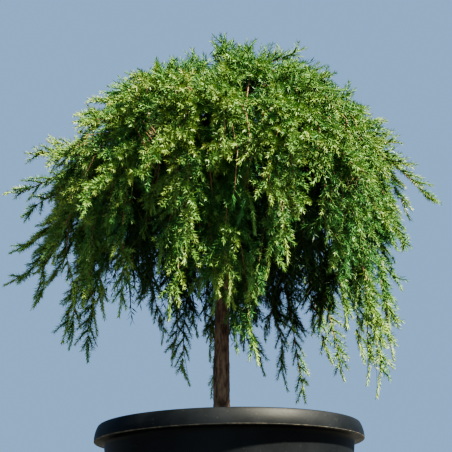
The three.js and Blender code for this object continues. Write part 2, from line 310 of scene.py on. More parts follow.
def lip_material():
    """The worn, dusty lower edge of the rim, paler also as a painted highlight along the edge."""
    material, tree, shader = new_material("dusty_lip_and_highlight", (0.1, 0.085, 0.06), 0.7)
    wear = add_noise(tree, object_position(tree), 160, 4, 0.7)
    tone = add_ramp(tree, wear, [(0.45, (0.012, 0.012, 0.01)), (0.7, (0.1, 0.085, 0.06))])
    tree.links.new(tone, shader.inputs["Base Color"])
    return material


def bark_material(name, dark, middle, light):
    """Fissured bark: dark cracks that run along the limb, with paler plates between."""
    material, tree, shader = new_material(name, middle, 0.88, 0.25)
    place = object_position(tree, (1, 1, 0.28))
    plates = add_noise(tree, place, 260, 6, 0.68)
    patches = add_noise(tree, place, 45, 4, 0.6)
    total = tree.nodes.new("ShaderNodeMath")
    total.operation = "MULTIPLY_ADD"
    total.inputs[1].default_value = 0.45
    tree.links.new(patches, total.inputs[0])
    tree.links.new(plates, total.inputs[2])
    tone = add_ramp(tree, total.outputs["Value"], [(0.58, dark), (0.7, middle), (0.86, light)])
    tree.links.new(tone, shader.inputs["Base Color"])
    add_bump(tree, shader, plates, 0.5, 0.0012)
    return material


def soil_material():
    """Dark crumbly potting compost."""
    material, tree, shader = new_material("compost", (0.03, 0.018, 0.011), 0.95, 0.2)
    crumbs = add_noise(tree, object_position(tree), 210, 6, 0.7)
    tone = add_ramp(tree, crumbs, [(0.35, (0.012, 0.007, 0.004)), (0.55, (0.04, 0.024, 0.014)),
                                   (0.7, (0.11, 0.07, 0.04))])
    tree.links.new(tone, shader.inputs["Base Color"])
    add_bump(tree, shader, crumbs, 0.8, 0.002)
    return material


# Pot and soil

def arc(middle_x, middle_z, radius, start, end, count=7):
    """Points of a round stretch of a profile; the angles are in degrees."""
    turn = np.radians(np.linspace(start, end, count))
    return [(middle_x + radius * math.cos(a), middle_z + radius * math.sin(a)) for a in turn]


def make_pot():
    """The pot's wall and folded rim, with rounded edges and a sharp lower lip, worn and dusty, with a painted
    highlight.
    """
    band_foot = POT_HEIGHT - RIM_BAND
    inner_top = WALL_TOP_RADIUS - WALL
    outside = [(0, 0), (40, 0), (80, 0)]
    outside += arc(FOOT_RADIUS - FOOT_ROUND, FOOT_ROUND, FOOT_ROUND, -90, 0)
    heights = np.linspace(8, band_foot - 6, 12)
    outside += [(mix(FOOT_RADIUS, WALL_TOP_RADIUS, z / (band_foot - 3)), z) for z in heights]
    under = [(WALL_TOP_RADIUS, band_foot - 3.2), (WALL_TOP_RADIUS + 0.8, band_foot - 1.9)]
    under += [(WALL_TOP_RADIUS + 3, band_foot - 1.2), (LIP_RADIUS - 2.2, band_foot - 0.4)]
    lip = arc(LIP_RADIUS - LIP_ROUND, band_foot + 0.4, LIP_ROUND, -120, 10, 6)
    band = [(mix(LIP_RADIUS, RIM_TOP_RADIUS + 1.2, s) + 0.5 * math.sin(math.pi * s),
             band_foot + 1.2 + s * (RIM_BAND - 5)) for s in np.linspace(0.04, 1, 8)]
    top = arc(RIM_TOP_RADIUS - 2.2, POT_HEIGHT - RIM_ROUND, RIM_ROUND, 35, 150, 12)
    inside = [(inner_top + 3.4, POT_HEIGHT - 6), (inner_top + 0.6, band_foot - 1)]
    inside += [(inner_top, band_foot - 4), (FOOT_RADIUS - WALL, POT_FLOOR), (0, POT_FLOOR)]
    profile = outside + under + lip + band + top + inside
    rings = len(profile) - 2
    faces = tube_faces(rings, POT_SIDES)[:, TURNED_OVER]
    piece = add_piece("pot_shell", turned(profile, POT_SIDES), faces, [plastic_material(), lip_material()],
                      "pot_plastic")
    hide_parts("pot")

    # The lip takes the second material, its dust and painted highlight, in both halves of its quads
    start = len(outside) + len(under) - 2
    in_lip = np.repeat(np.isin(np.arange(rings - 1), range(start, start + len(lip))), POT_SIDES)
    material_numbers = np.concatenate([in_lip, in_lip, np.zeros(2 * POT_SIDES)]).astype(np.int32)
    piece.data.polygons.foreach_set("material_index", material_numbers)


def make_soil():
    """The compost's uneven surface, its sides down the pot, and loose crumbs on it."""
    low = POT_FLOOR + 0.4
    level = SOIL_TOP - COMPOST_SINK
    profile = [(SOIL_RADIUS * share, level) for share in np.linspace(0, 1, COMPOST_RINGS)]
    profile += [(FOOT_RADIUS - WALL - COMPOST_GAP, low), (0, low)]
    vertices = turned(profile, COMPOST_SIDES)
    for point in vertices[:(COMPOST_RINGS - 1) * COMPOST_SIDES]:
        rise = sum(noise.noise(Vector((point[0] / width, point[1] / width, seed))) * height
                   for width, height, seed in COMPOST_RELIEF)
        point[2] += min(max(rise, -3), 2)
    faces = tube_faces(COMPOST_RINGS, COMPOST_SIDES)
    compost = soil_material()
    piece = add_piece("compost", vertices, faces, [compost], "soil")
    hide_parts("soil")
    make_crumbs(compost)


def make_crumbs(compost):
    """Loose crumbs of compost, as small lumps sunk in the surface."""
    rng = np.random.default_rng(17)
    radius = (SOIL_RADIUS - 5) * np.sqrt(rng.uniform(0.012, 1, CRUMBS))
    turn = rng.uniform(0, 2 * math.pi, CRUMBS)
    size = rng.gamma(3.0, 0.5, CRUMBS).clip(*CRUMB_SIZES)
    middle = np.column_stack([radius * np.cos(turn), radius * np.sin(turn), SOIL_TOP - 1.8 + size * 0.2])
    shape = np.array([[1, 0, 0], [-1, 0, 0], [0, 1, 0], [0, -1, 0], [0, 0, 1], [0, 0, -1]], float)
    lumps = shape[None] * size[:, None, None] * rng.uniform(0.6, 1.2, (CRUMBS, 6, 1))
    lumps[..., 2] *= 0.7
    vertices = (middle[:, None] + lumps).reshape(-1, 3)
    octahedron = ((0, 2, 4), (2, 1, 4), (1, 3, 4), (3, 0, 4), (2, 0, 5), (1, 2, 5), (3, 1, 5), (0, 3, 5))
    faces = repeated(octahedron, 6, CRUMBS)
    add_piece("compost_crumbs", vertices, faces, [compost], "soil", smooth=False)


# Trunk and boughs

def limb_mesh(path, radius_at, sides, relief, seed):
    """A closed tube along a path, with ridges and cracks of bark that run along it."""
    count = len(path)
    tangent = unit(np.gradient(path, axis=0))
    side = unit(np.cross(tangent, [0.0, 1.0, 0.0]))
    across = np.cross(tangent, side)
    run = np.concatenate([[0], np.cumsum(np.linalg.norm(np.diff(path, axis=0), axis=1))])
    vertices = []
    for i in range(count):
        share = i / (count - 1)
        for k in range(sides):
            turn = 2 * math.pi * k / sides
            place = Vector((math.cos(turn) * BARK_TURNS, math.sin(turn) * BARK_TURNS,
                            run[i] / CRACK_LENGTH + seed))
            crack = abs(noise.noise(place * 1.5)) * 1.6 - 0.45
            lump = noise.noise(Vector((place.x, place.y, run[i] / LUMP_LENGTH + seed)))
            radius = radius_at(share, turn) + relief * (crack + 0.8 * lump)
            vertices.append(path[i] + radius * (side[i] * math.cos(turn) + across[i] * math.sin(turn)))
    vertices += [path[0], path[-1]]
    return np.array(vertices), tube_faces(count, sides)


def trunk_line(count):
    """The trunk's leaning, swaying axis, carried on to the hub of the mass on its tip."""
    foot = np.array([TRUNK_FOOT_X, 0, SOIL_TOP])
    tip = np.array([CROWN_X, 0, TRUNK_TIP])
    low, third, high = (mix(foot, tip, share) for share in (0.06, 0.36, 0.7))
    third = third - [TRUNK_SWAY, TRUNK_SWAY, 0]
    high = high + [0, TRUNK_SWAY, 0]
    hub = MIDDLE + UP * HUB_DISTANCE
    return spline([foot, low, third, high, tip, hub], count)


def trunk_radius(share, turn):
    """The trunk's taper, and the flare of its foot, which spreads into four roots."""
    height = share * (TRUNK_TIP - SOIL_TOP)
    flare = max(0.0, 1 - height / FLARE_HEIGHT) ** 2
    roots = 1 + 0.22 * math.cos(4 * turn + 0.7)
    return mix(FOOT_THICKNESS, TIP_THICKNESS * 0.8, share) + (FLARE_RADIUS - FOOT_THICKNESS) * flare * roots


def make_trunk(bark):
    """The trunk, whose foot is sunk in the compost's surface."""
    path = trunk_line(300)
    path[0, 2] -= 3
    vertices, faces = limb_mesh(path, trunk_radius, TRUNK_SIDES, TRUNK_RELIEF, 0.0)
    piece = add_piece("trunk_bark", vertices, faces, [bark], "bark")
    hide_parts("trunk")


def places(tier):
    """Where a tier's masses stand, and the lines of their boughs up to the hub of each mass."""
    found = []
    trunk = trunk_line(200)
    for k in range(tier["masses"]):
        azimuth = 2 * math.pi * (k + tier["first"]) / tier["masses"]
        twist = tier["twist"] * (1 if k % 2 == 0 else -1)
        foot = tier["foot"] + tier["step"] * ((tier["order"] * k) % tier["masses"])
        tip = dome_point(azimuth, tier["hub"], BOUGH_REACH)
        hub = dome_point(azimuth, tier["hub"], HUB_DISTANCE)
        axis = trunk[np.argmin(abs(trunk[:, 2] - foot))]
        reach = math.hypot(tip[0] - CROWN_X, tip[1])
        rise = tip[2] - foot
        bends = [crown_point(azimuth + turn, reach * bend["out"], foot + rise * bend["rise"] + bend["lift"])
                 for bend, turn in ((ELBOW, twist), (SHOULDER, -twist))]
        line = spline([axis, *bends, tip, hub], 40)
        found.append(dict(azimuth=azimuth, hub=hub, line=line, half=math.pi / tier["masses"]))
    return found


def make_boughs(bark, skirt, upper):
    """All boughs in one piece, each swollen where it leaves the trunk."""
    vertices, faces, names = [], [], []
    total = 0
    for tier, found in ((SKIRT, skirt), (UPPER, upper)):
        for k, place in enumerate(found):
            def radius_at(share, turn, tier=tier):
                collar = COLLAR * max(0.0, 1 - share / COLLAR_SHARE) ** 2
                return tier["radius"] * mix(1, BOUGH_TIP_SHARE, share) + collar
            points, triangles = limb_mesh(place["line"], radius_at, BOUGH_SIDES, BOUGH_RELIEF, 5.0 * k)
            vertices.append(points)
            faces.append(triangles + total)
            total += len(points)
            names.append(f"{tier['name']}_bough_{k + 1}")
    piece = add_piece("boughs_bark", np.vstack(vertices), np.vstack(faces), [bark], "bark")
    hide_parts(*names)


# Strands, shoots and needles

STRAND_POINTS = 26
SHOOT_POINTS = 6
TWIG_POINTS = 4

# Where the strands leave their hubs: distance from the crown's axis, and height
SKIRT_HUB_OUT = 127.0
SKIRT_HUB_HEIGHT = 524.0
UPPER_HUB_OUT = 87.0

# The ropes that the strands hang in: their azimuths in degrees, and their width in radians
ROPE_DEGREES = (8, 32, 50, 70, 90, 113, 133, 148, 172, 189, 214, 233, 254, 269, 284, 303, 323, 345)
ROPES = len(ROPE_DEGREES)
ROPE_LAYERS = 8
ROPE_WIDTH = 0.055

# How far out the ropes' upper and lower strands end, as by_side takes it
ROPE_REACH = (193, -24, 10)
ROPE_HANG = (158, 4, 8)
REACH_SPREAD = (-16, 10)
HANG_SPREAD = (-24, 12)

# The height of the hem and of the ropes' lowest tips, and what is added to that on each side
HEM = 312.0
HEM_TIPS = HEM + 21
HEM_RIGHT = -14
HEM_LEFT = 42
HEM_BACK = 20
HEM_BACK_RIGHT = -22
HEM_SPREAD = (-20, 26)

# How far the skirt's strands rise over their hubs before they hang, to end high or at the hem
CREST_HIGH = 52
CREST_LOW = 14
CREST_TILT = 8

# Strands inside the ropes: distance out and height of their tips, and how much lower they are behind
INNER_OUT = (40, 140)
INNER_HEIGHT = (HEM + 68, 450)
INNER_BACK_DROP = 26

# Strands that stand out in front and behind
FINGER_COUNT = 18
FINGER_SECTOR = (38, 142)
FINGER_OUT = (205, 236)
FINGER_HEIGHT = (385, 520)
FINGER_SPLAY = (0.6, 1)

# Strands that run over the dome and hang outside the ropes
DRAPED_SPREAD = 2.4 * ROPE_WIDTH
DRAPED_HEIGHT = (315, 455)
DRAPED_OUT = 172
DRAPED_RIGHT = -6
DRAPED_OUT_SPREAD = (-10, 8)
DRAPED_SHOULDER = (2, 16)
DRAPED_SHOULDER_HEIGHT = 590
DRAPED_CREST = (34, 46)

# Strands of the dome: angle from the vertical of their tips, in degrees
DOME_POLAR = (17, 88)
TOP_POLAR = (4, 42)

# How many strands each mass has, and how far out those of the dome end
DOME = dict(count=13, reach=170)
TOP = dict(count=24, reach=176)
INNER_COUNT = 7
INNER_DOMES = (dict(count=8, reach=145), dict(count=6, reach=105))
INNER_TOP = dict(count=10, reach=152)

# The crown's outline: its radius by the angle from the level, in degrees, on its left and right sides
OUTLINE_MIDDLE = np.array([-5.0, 0.0, 470.0])
OUTLINE_ANGLES = (-90, -45, -30, -20, -10, 0, 10, 20, 30, 40, 50, 60, 70, 80, 90)
OUTLINE_LEFT = (400, 234, 202, 204, 202, 196, 203, 194, 183, 178, 168, 177, 196, 195, 206)
OUTLINE_RIGHT = (400, 210, 185, 180, 186, 200, 214, 214, 210, 187, 193, 218, 236, 231, 212)
OUTLINE_ZONE = 24.0

# How much further the outline reaches in front and behind, and the share of that by the angle
FRONT_SWELL = 14.0
SWELL_ANGLES = (-50, -30, 0, 30)
SWELL_SHARES = (0.4, 1, 0.7, 0)

# Hollows between the ropes: azimuth, angle above the level and width, in degrees
HOLLOWS = (
    (-121, -5, 8), (-120, 9, 6), (-99, -12, 5), (-96, -24, 6), (-95, -36, 9), (-113, -2, 6.5),
    (-83, -13, 3.5), (-83, 17, 4), (-130, -10, 7), (-81, 27, 6.5),
)
HOLLOW_DEPTH = 62.0
HOLLOW_EDGE = 0.36

# Shoots stand in clumps of this size where the noise is under this limit
CLUMP_SIZE = 26
CLUMP_LIMIT = 0.2

# What strands and shoots keep off: the trunk's axis, and the rim
TRUNK_CLEARANCE = 17
RIM_CLEARANCE = 22

# Strands that hang below the hem: azimuth from +X in degrees, distance out, tip's height, splay,
# and drift in degrees
LEADERS = (
    (-8, 166, 287, 0, 8), (-15, 163, 315, 0, -6), (-18, 151, 247, 0, 10), (-25, 146, 261, 0, -8),
    (-30, 158, 297, 0, 6), (-38, 142, 312, 0, 8), (24, 162, 306, 0, -8), (40, 169, 287, 0, -22),
    (50, 181, 322, 0.1, -14), (55, 151, 272, 0, -20), (65, 159, 290, 0, -16), (78, 160, 312, 0, -14),
    (100, 168, 288, 0, 12), (108, 178, 300, 0, -10), (118, 165, 321, 0, 10), (125, 154, 345, 0.1, -10),
    (155, 192, 311, 0.3, 6), (-80, 99, 273, 0, 10), (-89, 95, 285, 0, -8), (-84, 85, 306, 0, 12),
    (-97, 149, 330, 0, 8), (-80, 125, 325, 0, -12), (-89, 140, 318, 0, 10), (-105, 140, 326, 0, -8),
    (-93, 158, 320, 0, -6), (-86, 152, 328, 0, 6), (-150, 150, 325, 0.1, 10), (-130, 175, 316, 0, -8),
    (-140, 182, 330, 0.1, 8), (-112, 162, 306, 0, -6), (72, 138, 346, 0, 8), (60, 142, 350, 0, -8),
    (84, 126, 342, 0, 10), (48, 150, 352, 0, -10), (96, 120, 350, 0, 8), (110, 140, 352, 0, -8),
    (160, 205, 335, 0.3, 6), (-165, 215, 345, 0.5, 6), (-155, 205, 375, 0.5, -5), (-104, 188, 345, 0, 2),
    (-103, 192, 385, 0, 0), (-76, 190, 350, 0, 2), (-73, 194, 388, 0, 2), (-79, 189, 405, 0, -2),
    (-96, 150, 322, 0, 4), (-98, 135, 312, 0, -5),
)

# Strands that stand out sideways from the crown's outline, with the same columns
FINGERS = (
    (-8, 230, 462, 0.8, 0), (-5, 200, 450, 0.5, 0), (0, 178, 578, 0.9, 0), (-4, 192, 536, 0.9, 0),
    (14, 192, 505, 0.9, 0), (8, 196, 440, 0.8, 0), (-12, 190, 402, 0.6, 0), (172, 185, 320, 0.6, 0),
    (172, 212, 388, 0.9, 0), (176, 224, 400, 0.9, 0), (178, 255, 382, 1, 0), (186, 240, 409, 1, 0),
    (178, 217, 437, 1, 0), (183, 235, 462, 1, 0), (180, 252, 490, 1, 0), (188, 226, 524, 0.9, 0),
    (176, 206, 558, 0.8, 0),
)

# How shoots leave their lines: the stretch of the line that bears them, the spacing, the angle to the line
# and its roll outwards, in radians, the lengths, what is left of them at the line's tip, and the droop
HANGING_RULE = dict(first=0.07, last=0.95, spacing=9.2, lean=0.86, lift=0.55, uneven=0.65, shortest=14,
                    longest=40, tip_share=0.5, droop=0.1)
DOME_RULE = dict(first=0.1, last=0.97, spacing=7.0, lean=0.75, lift=0.75, uneven=0.5, shortest=14,
                 longest=36, tip_share=0.7, droop=0.0)
LEADER_RULE = dict(HANGING_RULE, last=0.93, spacing=7.0, longest=38, tip_share=0.4)
FINGER_RULE = dict(HANGING_RULE, last=0.93, spacing=5.2, shortest=11, longest=30, tip_share=0.4)
INNER_RULE = dict(HANGING_RULE, spacing=7.5, shortest=26, longest=60, tip_share=0.8, lift=0.1,
                  uneven=0.9)
TWIG_RULE = dict(first=0.2, last=0.85, spacing=8.5, lean=0.85, lift=0.3, uneven=0.6, shortest=8,
                 longest=17, tip_share=0.6, droop=0.05)

# How much the lean of shoots and needles varies, in radians
LEAN_SPREAD = 0.14

# Side shoots longer than this bear twigs
LONG_SHOOT = 25

# Radius at the root and tip: a strand's root is thicker by a share of its length
STRAND_TIP = 0.5
STRAND_TAPER = 0.0016
SHOOT_RADII = (1.4, 0.9)
TWIG_RADII = (1.3, 0.9)

# Needles: their lean at a shoot's root and tip, in radians, where they start along a line, the pitch from
# one to the next, and their size
NEEDLE_LENGTH = 6.8
NEEDLE_WIDTH = 0.84
NEEDLE_FOLD = 0.3
NEEDLE_LEAN = (1.15, 0.45)
STRAND_NEEDLES = dict(first=0.06, pitch=1.2, size=1)
END_NEEDLES = dict(first=0.84, pitch=0.5, size=1.1)
OUTERMOST_NEEDLES = dict(first=0.03, pitch=0.38, size=1)
SIDE_NEEDLES = dict(first=0.03, pitch=0.68, size=1)
INNER_NEEDLES = dict(first=0.03, pitch=2.1, size=1.8)
TWIG_NEEDLES = dict(first=0.03, pitch=0.56, size=1)
NEEDLES_A_PIECE = 95000

# The outermost shoots, which bear the closest needles: near the outline, or low in the crown
OUTERMOST_SHARE = 0.97
OUTERMOST_BELOW = 370

# Needles are lighter further out and higher up: partly fresher growth further out, partly painted shade
# inside the crown and painted light on its top. From PAINTED_LIGHT_FROM out from the crown's middle they
# lighten over
# PAINTED_LIGHT_DEPTH; below the height HEM_PAINTED_LIGHT_BELOW, counted in CROWN_RISE from the middle, they
# are painted lighter again, as painted light on the shaded hem.
PAINTED_LIGHT_FROM = 140
PAINTED_LIGHT_DEPTH = 60
CROWN_RISE = 200
HEM_PAINTED_LIGHT_BELOW = -0.4

# Each shoot's mood makes its needles fresher or deeper than its place does: its mean and spread
STRAND_MOOD = (0, 0.3)
END_MOOD = (0.3, 0.3)
SIDE_MOOD = (0, 0.5)
# The inner shoots' needles are made much darker: painted shade inside the crown.
INNER_PAINTED_SHADE = (-1.5, 0.3)

# The needles' colours, from those inside the crown, darkened as painted shade, to the newly grown tips,
# lightened also as painted light
TINTS = {
    "deep": (0.007, 0.040, 0.010),
    "shade": (0.030, 0.108, 0.024),
    "green": (0.084, 0.172, 0.036),
    "bright": (0.140, 0.212, 0.044),
    "fresh_and_lit": (0.195, 0.240, 0.052),
}


def hollowness(points):
    """One in the middle of a hollow, falling to nought around it."""
    azimuth, angle, width = (np.radians(column) for column in zip(*HOLLOWS))
    toward = np.stack([np.cos(azimuth) * np.cos(angle), np.sin(azimuth) * np.cos(angle), np.sin(angle)],
                      axis=-1)
    apart = np.arccos(np.clip(unit(points - MIDDLE) @ toward.T, -1, 1))
    return np.exp(-(apart / width) ** 2).max(axis=-1)


def outline_distance(points):
    """The distance of points from the outline's middle, and that of the outline beyond them."""
    offset = points - OUTLINE_MIDDLE
    flat = np.linalg.norm(offset[..., :2], axis=-1)
    angle = np.degrees(np.arctan2(offset[..., 2], flat))
    rightness = (1 + offset[..., 0] / np.maximum(flat, 1e-6)) / 2
    limit = mix(np.interp(angle, OUTLINE_ANGLES, OUTLINE_LEFT),
                np.interp(angle, OUTLINE_ANGLES, OUTLINE_RIGHT), rightness)
    facing = (offset[..., 1] / np.maximum(flat, 1e-6)) ** 2
    limit = limit + FRONT_SWELL * facing * np.interp(angle, SWELL_ANGLES, SWELL_SHARES)
    return np.linalg.norm(offset, axis=-1), limit


def kept_inside(lines, margin):
    """Lines squeezed near the crown's outline and the hollows, so that they stay a margin inside."""
    distance, limit = outline_distance(lines)
    free = limit - margin - OUTLINE_ZONE - HOLLOW_DEPTH * hollowness(lines)
    over = np.maximum(0, distance - free)
    squeezed = np.minimum(distance, free) + OUTLINE_ZONE * np.tanh(over / OUTLINE_ZONE)
    return OUTLINE_MIDDLE + (lines - OUTLINE_MIDDLE) * (squeezed / np.maximum(distance, 1e-6))[..., None]


def nearest(azimuth, found):
    """The azimuths of the boughs that stand nearest to the given azimuths."""
    boughs = np.array([place["azimuth"] for place in found])
    apart = np.abs(np.angle(np.exp(1j * (azimuth[:, None] - boughs))))
    return boughs[np.argmin(apart, axis=1)]


def arched(start, azimuth, drift, controls):
    """Strands from four pairs of distance and height, from a bough's azimuth round to their own."""
    start = azimuth + np.angle(np.exp(1j * (start - azimuth)))
    azimuths = (start, mix(start, azimuth, 0.75), azimuth + drift / 2, azimuth + drift)
    points = [crown_point(turn, out, height) for turn, (out, height) in zip(azimuths, controls)]
    return bezier(np.stack(points, axis=1), STRAND_POINTS)


def domed(hub, azimuth, controls):
    """Strands from a hub over the dome, with three pairs of angle from the vertical and distance."""
    points = [np.broadcast_to(hub, (len(azimuth), 3))]
    points += [dome_point(azimuth, polar, distance) for polar, distance in controls]
    return bezier(np.stack(points, axis=1), STRAND_POINTS)


def skirt_lines(start, azimuth, drift, out, height, splay):
    """Strands from the skirt's hubs: with splay 0 they arch over and hang, with 1 they run straight out."""
    drop = np.clip((SKIRT_HUB_HEIGHT - height) / (SKIRT_HUB_HEIGHT - HEM), 0, 1.2)
    crest = SKIRT_HUB_HEIGHT + mix(CREST_HIGH, CREST_LOW, drop) + CREST_TILT * np.cos(azimuth)
    over_out = mix(SKIRT_HUB_OUT, out, mix(0.55, 0.35, splay))
    over_height = mix(crest, mix(SKIRT_HUB_HEIGHT, height, 0.2) + 14, splay)
    bulge = mix(-40, 5, np.minimum(1, 1.5 * drop))
    down_out = mix(out + bulge, mix(SKIRT_HUB_OUT, out, 0.66), splay)
    down_height = mix(mix(crest, height, 0.45), mix(SKIRT_HUB_HEIGHT, height, 0.9) + 2, splay)
    controls = [(SKIRT_HUB_OUT, SKIRT_HUB_HEIGHT), (over_out, over_height), (down_out, down_height),
                (out, height)]
    return arched(start, azimuth, drift, controls)


def by_side(azimuth, level, right, facing):
    """A size that is level all round, with what is added to the right, and in front and behind."""
    return level + right * np.cos(azimuth) + facing * np.sin(azimuth) ** 2


def skirt_strands(rng, ropes, found):
    """Ropes of strands. Drop 0 ends high and far out, over those that hang; drop 1 ends at the hem."""
    rope = np.repeat(np.arange(ROPES), ROPE_LAYERS)
    layer = np.tile(np.arange(ROPE_LAYERS), ROPES)
    count = len(rope)
    azimuth = ropes[rope] + rng.normal(0, ROPE_WIDTH, count)
    drop = (layer + rng.uniform(0.05, 0.95, count)) / ROPE_LAYERS
    right = np.cos(azimuth)
    back = np.maximum(0, np.sin(azimuth))
    reach = by_side(azimuth, *ROPE_REACH) + rng.uniform(*REACH_SPREAD, count)
    hang = by_side(azimuth, *ROPE_HANG) + rng.uniform(*HANG_SPREAD, count)
    hem = HEM_TIPS + HEM_RIGHT * right + HEM_LEFT * np.maximum(0, -right)
    hem += back * (HEM_BACK + HEM_BACK_RIGHT * right)
    hem += rng.uniform(*HEM_SPREAD, count)
    splay = np.clip(0.28 - 0.44 * right + rng.normal(0, 0.2, count), 0, 1)
    drift = rng.normal(0, 0.08, ROPES)[rope] + rng.normal(0, 0.04, count)
    out = mix(reach, hang, drop ** 3)
    height = mix(SKIRT_HUB_HEIGHT, hem, drop)
    return skirt_lines(nearest(azimuth, found), azimuth, drift, out, height, splay)


def inner_strands(rng, place, count):
    """Strands that hang inside the ropes and close the crown."""
    stray = rng.uniform(-0.3, 0.3, count)
    azimuth = place["azimuth"] + place["half"] * ((2 * np.arange(count) + 1) / count - 1 + stray)
    out = rng.uniform(*INNER_OUT, count)
    height = rng.uniform(*INNER_HEIGHT, count) - INNER_BACK_DROP * np.maximum(0, np.sin(azimuth))
    return skirt_lines(place["azimuth"], azimuth, rng.normal(0, 0.2, count), out, height, 0)


def chosen_strands(table, found):
    """The strands of a table, whose azimuths are those of their tips."""
    azimuth, out, height, splay, drift = (np.array(column, float) for column in zip(*table))
    drift = np.radians(drift)
    azimuth = np.radians(azimuth) - drift
    return skirt_lines(nearest(azimuth, found), azimuth, drift, out, height, splay)


def finger_strands(rng, found):
    """Strands that stand out in front and behind, by turns, as the chosen ones do at the sides."""
    number = np.arange(FINGER_COUNT)
    place = (number // 2 + rng.uniform(0.2, 0.8, FINGER_COUNT)) / (FINGER_COUNT / 2)
    turn = np.radians(mix(*FINGER_SECTOR, place))
    azimuth = np.where(number % 2 == 0, turn, -turn)
    out = rng.uniform(*FINGER_OUT, FINGER_COUNT)
    height = rng.uniform(*FINGER_HEIGHT, FINGER_COUNT)
    splay = rng.uniform(*FINGER_SPLAY, FINGER_COUNT)
    return skirt_lines(nearest(azimuth, found), azimuth, 0, out, height, splay)


def dome_strands(rng, place, count, reach):
    """Short strands that spread over the dome, or inside it where their reach is less."""
    stray = rng.uniform(-0.12, 0.12, count)
    azimuth = place["azimuth"] + place["half"] * ((2 * rng.permutation(count) + 1) / count - 1 + stray)
    polar = np.radians(mix(*DOME_POLAR, (np.arange(count) + rng.uniform(0.1, 0.9, count)) / count))
    distance = reach + 5 * np.cos(azimuth) + rng.uniform(-8, 8, count)
    start = UPPER["hub"]
    controls = [(mix(start, polar, 0.2), mix(HUB_DISTANCE, reach, 0.75)),
                (mix(start, polar, 0.65), distance - 2), (polar, distance)]
    return domed(place["hub"], azimuth, controls)


def draped_strands(rng, ropes, found):
    """Long strands that run over the dome and hang on the outside of the skirt's ropes."""
    azimuth = np.repeat(ropes, 2) + rng.normal(0, DRAPED_SPREAD, 2 * ROPES)
    count = len(azimuth)
    height = rng.uniform(*DRAPED_HEIGHT, count)
    out = DRAPED_OUT + DRAPED_RIGHT * np.cos(azimuth) + rng.uniform(*DRAPED_OUT_SPREAD, count)
    shoulder = out + rng.uniform(*DRAPED_SHOULDER, count)
    hub_height = found[0]["hub"][2]
    over = (mix(UPPER_HUB_OUT, shoulder, 0.7), hub_height + rng.uniform(*DRAPED_CREST, count))
    down = (shoulder + 8, mix(DRAPED_SHOULDER_HEIGHT, height, 0.3))
    controls = [(UPPER_HUB_OUT, hub_height), over, down, (out, height)]
    return arched(nearest(azimuth, found), azimuth, rng.normal(0, 0.1, count), controls)


def top_strands(rng, count, reach):
    """Strands that rise from the trunk's tip and spread over the top of the dome."""
    azimuth = 2 * math.pi * (np.arange(count) * 0.618 % 1)
    polar = np.radians(mix(*TOP_POLAR, (np.arange(count) + 0.5) / count))
    distance = reach + 9 * np.cos(azimuth) + rng.uniform(-8, 6, count)
    controls = [(polar * 0.4, mix(HUB_DISTANCE, distance, 0.5)), (polar * 0.75, distance * 0.96),
                (polar, distance)]
    return domed(MIDDLE + UP * HUB_DISTANCE, azimuth, controls)


def wander(rng, groups, amount):
    """Joins groups of lines, and lets them stray from their path more and more towards their tips."""
    lines = np.concatenate(groups)
    share = np.linspace(0, 1, lines.shape[1])[None, :, None]
    stray = np.zeros_like(lines)
    for waves in (1.3, 2.7, 5.1):
        phase = rng.uniform(0, 2 * math.pi, (len(lines), 1, 3))
        stray += np.sin(2 * math.pi * waves * share + phase) / waves
    return lines + amount * stray * share ** 0.8


def lengths_of(lines):
    return np.linalg.norm(np.diff(lines, axis=1), axis=2).sum(axis=1)


def along(lines, index, share):
    """Points and directions at shares of the length of the lines with the given numbers."""
    last = lines.shape[1] - 1
    place = np.clip(share * last, 0, last - 1e-6)
    low = place.astype(int)
    start = lines[index, low]
    step = lines[index, low + 1] - start
    return start + step * (place - low)[:, None], unit(step)


def stations(rng, lines, first, last, spacing, uneven):
    """Even stations along each line: the line's number, the station's number and its share."""
    length = lengths_of(lines)
    counts = np.maximum(0, ((last - first) * length / spacing).astype(int))
    index = np.repeat(np.arange(len(lines)), counts)
    start = np.repeat(np.cumsum(counts) - counts, counts)
    number = np.arange(len(index)) - start
    stray = rng.uniform(-uneven, uneven, len(index))
    share = first + (number + 0.5 + stray) * spacing / length[index]
    return index, number, np.clip(share, 0, 1)


def swung(start, toward, angle):
    """Directions swung by an angle from their start toward others square to them."""
    return start * np.cos(angle)[:, None] + toward * np.sin(angle)[:, None]


def beside(point, tangent, lean, roll, side):
    """Directions that leave a line on one side, rolled outwards from the crown's middle."""
    outward = unit(point - MIDDLE)
    upright = unit(outward - (outward * tangent).sum(axis=1, keepdims=True) * tangent)
    level = np.cross(upright, tangent) * side[:, None]
    return unit(swung(tangent, swung(level, upright, roll), lean))


def shoots(rng, lines, rule, points):
    """Shoots that leave their lines on alternate sides, and the number of the line of each."""
    index, number, share = stations(rng, lines, rule["first"], rule["last"], rule["spacing"], 0.3)
    root, tangent = along(lines, index, share)
    count = len(index)
    side = np.where(number % 2 == 0, 1.0, -1.0)
    roll = rule["lift"] + rng.normal(0, rule["uneven"], count)
    lean = rule["lean"] + rng.normal(0, LEAN_SPREAD, count)
    direction = beside(root, tangent, lean, roll, side)
    vigour = rng.beta(1.6, 2.4, count)
    size = mix(rule["shortest"], rule["longest"], vigour) * mix(1, rule["tip_share"], share ** 2)
    forward = np.linspace(0, 1, points)[None, :, None]
    bend = tangent * 0.3 - UP * rule["droop"]
    path = direction[:, None] * forward + bend[:, None] * forward ** 2
    return root[:, None] + size[:, None, None] * path, index


def in_clumps(lines):
    """Which shoots stand in clumps and outside the hollows, so that dark gaps are left between them."""
    value = np.array([noise.noise(Vector(point / CLUMP_SIZE)) for point in lines[:, 0]])
    return (value < CLUMP_LIMIT) & (hollowness(lines[:, 2]) < HOLLOW_EDGE)


